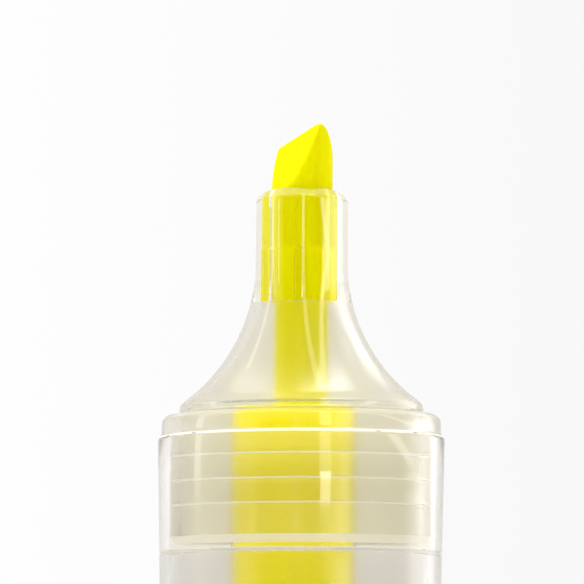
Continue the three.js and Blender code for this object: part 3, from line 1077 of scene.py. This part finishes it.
def surround():
    """Pale all round. What the gloss mirrors is dimmer in front, as a dark room would be."""
    world = bpy.data.worlds.new("white surround")
    world.use_nodes = True
    tree = world.node_tree
    tree.nodes.clear()
    direction = node(tree, "ShaderNodeTexCoord").outputs["Generated"]

    def along(axis):
        made = node(
            tree, "ShaderNodeVectorMath", {1: axis}, {0: direction}, operation="DOT_PRODUCT"
        )
        return made.outputs["Value"]

    def ramp(value, low, high, bottom, top):
        return span(tree, value, low, high, bottom, top, smooth=True)

    def choose(share, first, second):
        links = {0: share, 2: first, 3: second}
        return node(tree, "ShaderNodeMix", None, links, data_type="FLOAT").outputs[0]

    def combine(operation, *terms):
        return math_of(tree, operation, *terms)

    def window(value, low, high, softness):
        """1 between two angles, falling softly to 0 outside them."""
        starts = ramp(value, low - softness, low + softness, 0.0, 1.0)
        stops = ramp(value, high - softness, high + softness, 1.0, 0.0)
        return combine("MULTIPLY", starts, stops)

    def add_panel(mirrored, turn, across, rise, up, brightness):
        shape = combine("MULTIPLY", window(turn, *across), window(rise, *up))
        return combine("ADD", mirrored, combine("MULTIPLY", shape, brightness))

    sideways, backwards = along(to_the_pens_right), along(behind_the_pen)
    seen = combine(
        "MULTIPLY", ramp(sideways, -0.16, 0.16, 1.0, 0.93), ramp(backwards, -0.6, 0.6, 0.8, 1.0)
    )
    height = node(tree, "ShaderNodeSeparateXYZ", None, {"Vector": direction}).outputs["Z"]
    rise = combine("MULTIPLY", combine("ARCSINE", height), DEGREES)
    nearer = combine("MULTIPLY", backwards, -1.0)
    turn = combine("MULTIPLY", combine("ARCTAN2", sideways, nearer), DEGREES)

    # What the gloss mirrors: a dark room straight in front, and the panels.
    in_front = ramp(backwards, -0.6, -0.15, 1.0, 0.0)
    dark_room = combine("MULTIPLY", in_front, ramp(rise, -6, -1, 0.0, 1.0))
    dark_room = combine("MULTIPLY", dark_room, ramp(rise, 24, 60, 1.0, 0.55))
    mirrored = ramp(dark_room, 0.0, 1.0, 0.95, 0.0)
    for across, up, brightness in panels:
        mirrored = add_panel(mirrored, turn, across, rise, up, brightness)
    middle, lean, bend = leaning_curve
    slant = combine("MULTIPLY_ADD", rise, bend, lean)
    slant = combine("MULTIPLY_ADD", rise, slant, middle)
    off_slant = combine("SUBTRACT", turn, slant)
    mirrored = add_panel(
        mirrored, off_slant, leaning_across, rise, leaning_rise, leaning_brightness
    )
    seen_again = combine("MULTIPLY", seen, ramp(dark_room, 0.0, 1.0, 1.0, 0.25))

    # What lights the pen comes from behind it and from its left.
    lighting = combine(
        "ADD", ramp(backwards, -1.0, 0.3, 0.15, 1.0), ramp(sideways, -0.9, 0.1, 0.7, 0.0)
    )

    path = node(tree, "ShaderNodeLightPath").outputs
    looked_at = combine("MAXIMUM", path["Is Camera Ray"], path["Is Transmission Ray"])
    level = choose(looked_at, lighting, seen)
    for depth, after, shown in (
        ("Glossy Depth", 0.5, mirrored),
        ("Glossy Depth", 1.5, seen_again),
        ("Diffuse Depth", 0.5, lighting),
    ):
        level = choose(combine("GREATER_THAN", path[depth], after), level, shown)
    glow = node(tree, "ShaderNodeBackground", {"Color": (1, 1, 1, 1)}, {"Strength": level})
    node(tree, "ShaderNodeOutputWorld", None, {"Surface": glow.outputs["Background"]})
    bpy.context.scene.world = world


def soft_light(name, azimuth, elevation, across, up, brightness):
    """A panel a metre from the nose. It stands at an azimuth to the camera's right and an
    elevation, and covers so many degrees across and up."""
    turn = camera_azimuth + math.radians(azimuth)
    lift = math.radians(elevation)
    flat = math.cos(lift)
    away = Vector((math.sin(turn) * flat, -math.cos(turn) * flat, math.sin(lift)))
    data = bpy.data.lights.new(name, "AREA")
    data.shape = "RECTANGLE"
    data.size = 2 * math.tan(math.radians(across / 2))
    data.size_y = 2 * math.tan(math.radians(up / 2))
    data.energy = brightness * math.pi * data.size * data.size_y
    light = bpy.data.objects.new(name, data)
    light.location = Vector((0, 0, rim)) + away
    light.rotation_mode = "QUATERNION"
    light.rotation_quaternion = (-away).to_track_quat("-Z", "Y")
    light.visible_camera = False
    light.visible_glossy = False
    light.visible_transmission = False
    bpy.context.scene.collection.objects.link(light)


def pale_floor():
    mesh = bmesh.new()
    bmesh.ops.create_grid(mesh, x_segments=1, y_segments=1, size=4)
    data = bpy.data.meshes.new("floor")
    mesh.to_mesh(data)
    mesh.free()
    floor = bpy.data.objects.new("floor", data)
    bpy.context.scene.collection.objects.link(floor)
    material, tree = blank_material("pale floor")
    pale = node(
        tree, "ShaderNodeBsdfPrincipled", {"Base Color": (0.86, 0.86, 0.85, 1), "Roughness": 0.6}
    )
    unlit = node(tree, "ShaderNodeBsdfDiffuse", {"Color": (0, 0, 0, 1)})
    # Far in front of the pen, the gloss mirrors the dark room and not the lit floor.
    ahead = node(
        tree, "ShaderNodeVectorMath", {1: [-part for part in behind_the_pen]},
        {0: object_place(tree)}, operation="DOT_PRODUCT",
    )
    far = span(tree, ahead.outputs["Value"], 0.6, 1.5)
    bounced = node(tree, "ShaderNodeLightPath").outputs["Glossy Depth"]
    share = math_of(tree, "MULTIPLY", far, math_of(tree, "GREATER_THAN", bounced, 0.5))
    shader = node(
        tree, "ShaderNodeMixShader", None,
        {0: share, 1: pale.outputs["BSDF"], 2: unlit.outputs["BSDF"]},
    )
    node(tree, "ShaderNodeOutputMaterial", None, {"Surface": shader.outputs["Shader"]})
    data.materials.append(material)


surround()
soft_light("right softbox", 90, 25, 40, 40, 1.2)
soft_light("overhead softbox", 14, 62, 36, 30, 3.0)
soft_light("left softbox", -95, 40, 40, 40, 2.3)
pale_floor()

scene = bpy.context.scene
scene.view_settings.view_transform = "Standard"
scene.cycles.use_denoising = True
scene.cycles.max_bounces = 32
scene.cycles.glossy_bounces = 32
scene.cycles.transmission_bounces = 32
scene.cycles.transparent_max_bounces = 16
